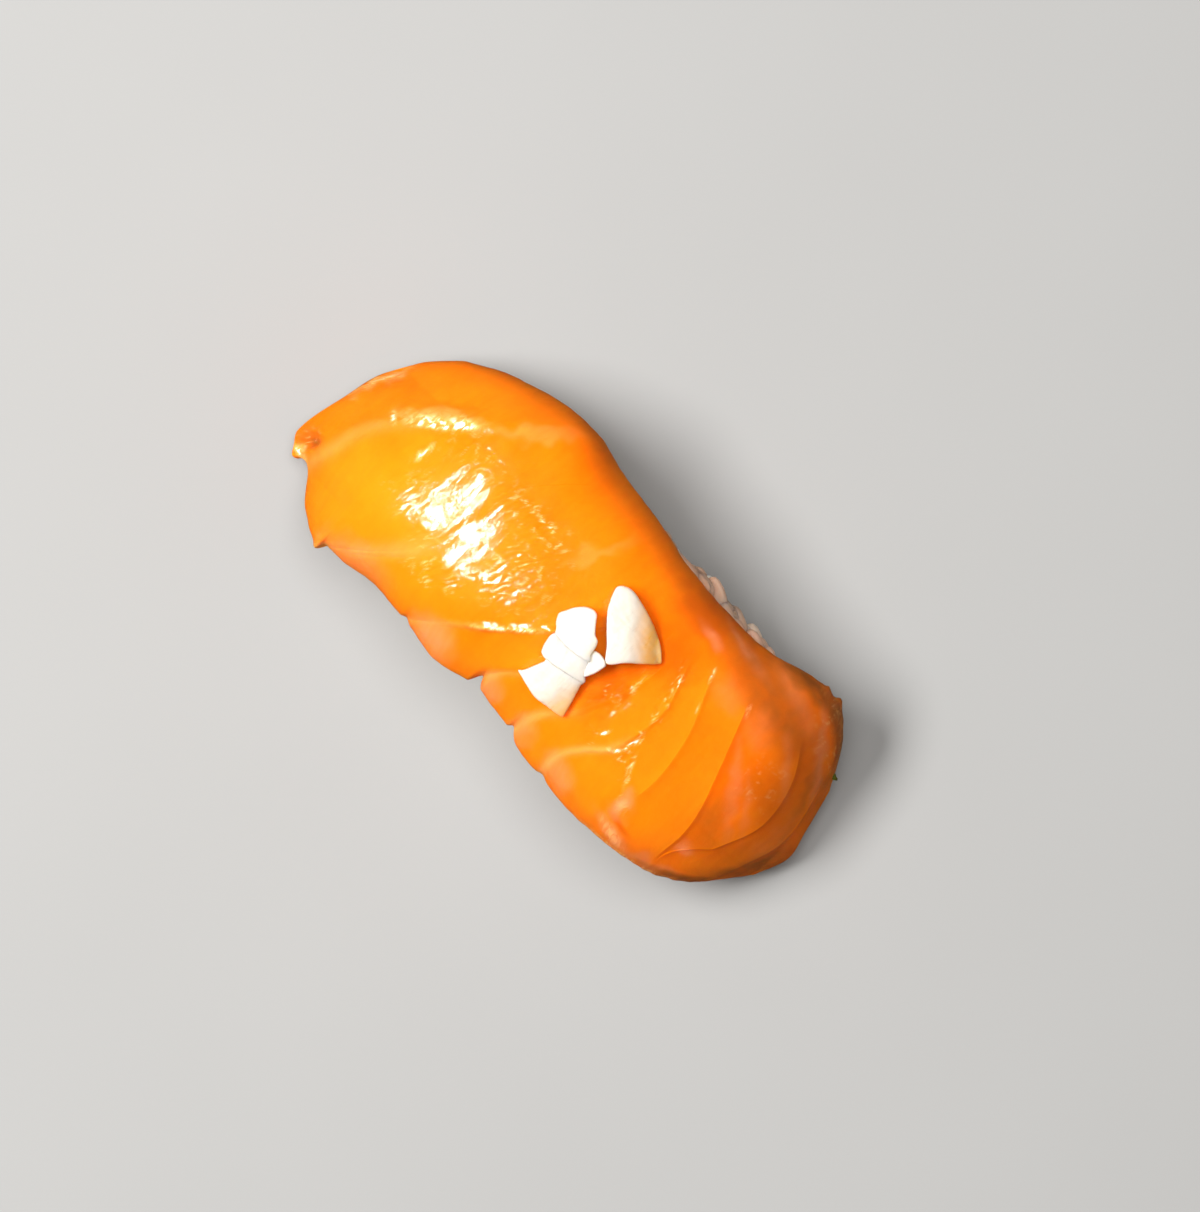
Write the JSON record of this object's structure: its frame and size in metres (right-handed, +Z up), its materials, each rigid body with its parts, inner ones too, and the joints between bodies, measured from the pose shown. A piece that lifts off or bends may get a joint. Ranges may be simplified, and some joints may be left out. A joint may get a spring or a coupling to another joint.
{
  "type": "salmon nigiri",
  "caption": "Piece of nigiri sushi: a pressed finger of rice under a draped slice of raw salmon with small white garlic chips on top.",
  "frame": {"origin": "centre of the plan box on the surface that the rice stands on", "axes": "+X along the finger of rice, +Y across it towards the side where the rice shows, +Z up"},
  "size_m": [0.0697, 0.0302, 0.0282],
  "materials": {
    "rice": "cooked sushi rice, pearly white and slightly moist",
    "salmon": "raw salmon, bright orange, wet and translucent, with paler seams between the flakes",
    "garlic": "raw garlic, creamy white with a damp sheen"
  },
  "bodies": {
    "root": {"rice": "rice", "salmon_slice": "salmon", "garlic_wedge": "garlic", "garlic_top_block": "garlic", "garlic_middle_block": "garlic", "garlic_end_wedge": "garlic", "garlic_chip": "garlic"}
  },
  "joints": []
}
